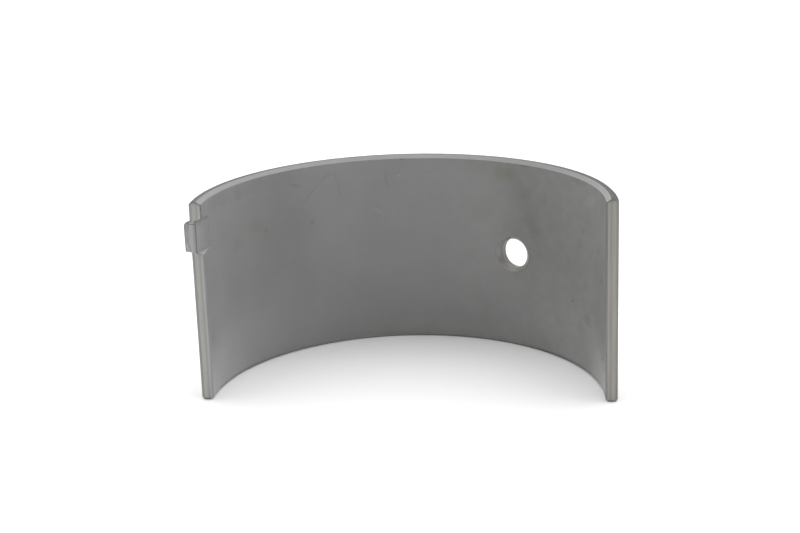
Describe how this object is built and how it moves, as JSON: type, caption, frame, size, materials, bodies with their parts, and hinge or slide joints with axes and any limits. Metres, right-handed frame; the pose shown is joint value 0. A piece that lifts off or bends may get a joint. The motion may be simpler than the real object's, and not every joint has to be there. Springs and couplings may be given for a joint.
{
  "type": "engine bearing shell",
  "caption": "Half-round steel-backed plain bearing shell with a pressed locating tang, a side oil hole, chamfered ends and eased joint faces, for a crankshaft journal.",
  "frame": {"origin": "on the bearing axis, at half the shell's length", "axes": "+Z along the bearing axis to the end with the tang, +Y to the crown, joint faces in the plane y = 0 with the tang at -X"},
  "size_m": [0.0863, 0.0425, 0.042],
  "materials": {
    "bearing_metal": "satin grey lining on a machined steel back"
  },
  "bodies": {
    "root": {"bearing_shell": "bearing_metal"}
  },
  "joints": []
}
